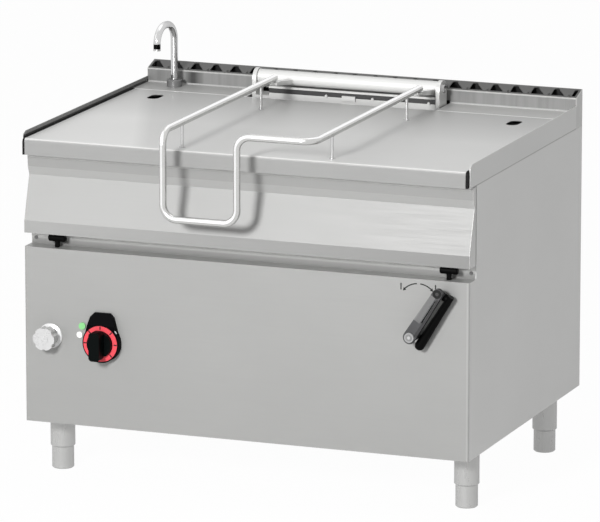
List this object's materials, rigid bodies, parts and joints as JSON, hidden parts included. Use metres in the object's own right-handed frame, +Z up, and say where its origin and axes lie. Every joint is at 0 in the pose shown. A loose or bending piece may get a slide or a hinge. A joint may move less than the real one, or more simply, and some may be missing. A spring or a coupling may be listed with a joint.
{
  "type": "tilting bratt pan",
  "caption": "Floor-standing tilting bratt pan: steel cabinet on feet, hinged lid with bent-tube handle, tilting pan, folding crank, swivel water tap and flue upstand.",
  "frame": {"origin": "floor level under the middle of the bounding box", "axes": "+X to the right along the cabinet's width as seen from the front, +Y from the front panel to the back, +Z up"},
  "size_m": [1.2, 0.979, 1.067],
  "materials": {
    "frame_steel": "grey powder coat",
    "panel_steel": "fine brushed",
    "side_steel": "fine brushed",
    "deck_steel": "fine brushed",
    "flue_steel": "fine brushed",
    "leg_steel": "satin tube",
    "hinge_black": "black satin",
    "pin_steel": "polished",
    "screw_steel": "polished",
    "drive_steel": "machined",
    "gearbox_paint": "hammered paint",
    "bearing_steel": "turned",
    "bezel_black": "satin",
    "dial_red": "printed ring",
    "knob_black": "satin",
    "lamp_green": "translucent lens",
    "lamp_white": "translucent lens",
    "valve_brass": "plain",
    "valve_chrome": "polished",
    "copper_pipe": "plain tube",
    "tap_chrome": "polished",
    "box_grey": "moulded",
    "gland_black": "moulded",
    "pad_rubber": "moulded",
    "pan_steel": "fine ground",
    "casing_steel": "plain sheet",
    "fascia_steel": "fine brushed",
    "element_steel": "oxidised tube",
    "board_cream": "pressed fibre board",
    "hinge_steel": "fine brushed",
    "lid_steel": "fine brushed",
    "seal_rubber": "extruded",
    "handle_steel": "polished tube",
    "arm_grey": "moulded",
    "grip_black": "moulded",
    "cap_white": "satin"
  },
  "bodies": {
    "cabinet": {"base_frame": "frame_steel", "leg_tubes": "leg_steel", "adjustable_feet": "leg_steel", "bottom_plate": "casing_steel", "corner_posts": "frame_steel", "frame_rails": "frame_steel", "front_panel": "panel_steel", "panel_screws": "screw_steel", "left_side_panel": "side_steel", "right_side_panel": "side_steel", "back_panel": "side_steel", "left_cheek": "panel_steel", "right_cheek": "panel_steel", "rear_deck": "deck_steel", "rear_upstand": "deck_steel", "flue_grille": "flue_steel", "pivot_posts": "hinge_black", "crank_bearing": "bearing_steel", "gearbox_stand": "frame_steel", "angle_gearbox": "gearbox_paint", "thermostat_body": "box_grey", "thermostat_bezel": "bezel_black", "dial_ring": "dial_red", "pilot_lamp_green": "lamp_green", "pilot_lamp_white": "lamp_white", "water_valve": "valve_brass", "valve_rosette": "valve_chrome", "water_pipe": "copper_pipe", "tap_base": "tap_chrome", "terminal_box": "box_grey", "cable_gland": "gland_black", "water_inlet": "valve_brass", "rest_pads": "pad_rubber"},
    "pan": {"pan_basin": "pan_steel", "pan_casing": "casing_steel", "pan_fascia": "fascia_steel", "pan_beams": "casing_steel", "pivot_forks": "hinge_black", "pivot_pins": "pin_steel", "tilt_sector": "drive_steel", "heating_elements": "element_steel", "insulation_board": "board_cream", "hinge_carrier": "hinge_steel", "hinge_brackets": "hinge_steel", "hinge_shaft": "pin_steel"},
    "lid": {"lid_shell": "lid_steel", "lid_liner": "lid_steel", "lid_seals": "seal_rubber", "hinge_tube": "hinge_steel", "hinge_links": "hinge_steel", "lid_handle": "handle_steel", "handle_posts": "pin_steel"},
    "crank": {"crank_shaft": "bearing_steel", "crank_arm": "arm_grey", "crank_cap": "cap_white"},
    "grip": {"crank_grip": "grip_black"},
    "worm": {"tilt_worm": "drive_steel"},
    "thermostat": {"thermostat_knob": "knob_black"},
    "valve": {"valve_knob": "valve_chrome"},
    "spout": {"tap_spout": "tap_chrome"}
  },
  "joints": [
    {"name": "pan_tilt", "type": "hinge", "parent": "cabinet", "child": "pan", "pos_m": [0, -0.3575, 0.6265], "axis": [1, 0, 0], "range_deg": [0, 75]},
    {"name": "lid_lift", "type": "hinge", "parent": "pan", "child": "lid", "pos_m": [0, 0.3955, 0.93], "axis": [-1, 0, 0], "range_deg": [0, 80]},
    {"name": "crank_turn", "type": "hinge", "parent": "cabinet", "child": "crank", "pos_m": [0.46, -0.3795, 0.465], "axis": [0, 1, 0], "range_deg": [0, 5250]},
    {"name": "worm_turn", "type": "hinge", "parent": "cabinet", "child": "worm", "pos_m": [0.46, -0.1995, 0.6265], "axis": [0, 0, 1], "range_deg": [-5250, 0]},
    {"name": "grip_fold", "type": "hinge", "parent": "crank", "child": "grip", "pos_m": [0.55238, -0.3995, 0.56057], "axis": [-0.848, 0, 0.5299], "range_deg": [0, 90]},
    {"name": "thermostat_turn", "type": "hinge", "parent": "cabinet", "child": "thermostat", "pos_m": [-0.383, -0.4095, 0.371], "axis": [0, 1, 0], "range_deg": [0, 270]},
    {"name": "valve_turn", "type": "hinge", "parent": "cabinet", "child": "valve", "pos_m": [-0.529, -0.4095, 0.376], "axis": [0, -1, 0], "range_deg": [0, 540]},
    {"name": "spout_swivel", "type": "hinge", "parent": "cabinet", "child": "spout", "pos_m": [-0.506, 0.4005, 0.9], "axis": [0, 0, 1], "range_deg": [0, 90]}
  ],
  "couplings": [
    {"joint": "crank_turn", "follows": "pan_tilt", "ratio": 70},
    {"joint": "worm_turn", "follows": "pan_tilt", "ratio": -70},
    {"joint": "spout_swivel", "follows": "lid_lift", "ratio": 1.1}
  ]
}
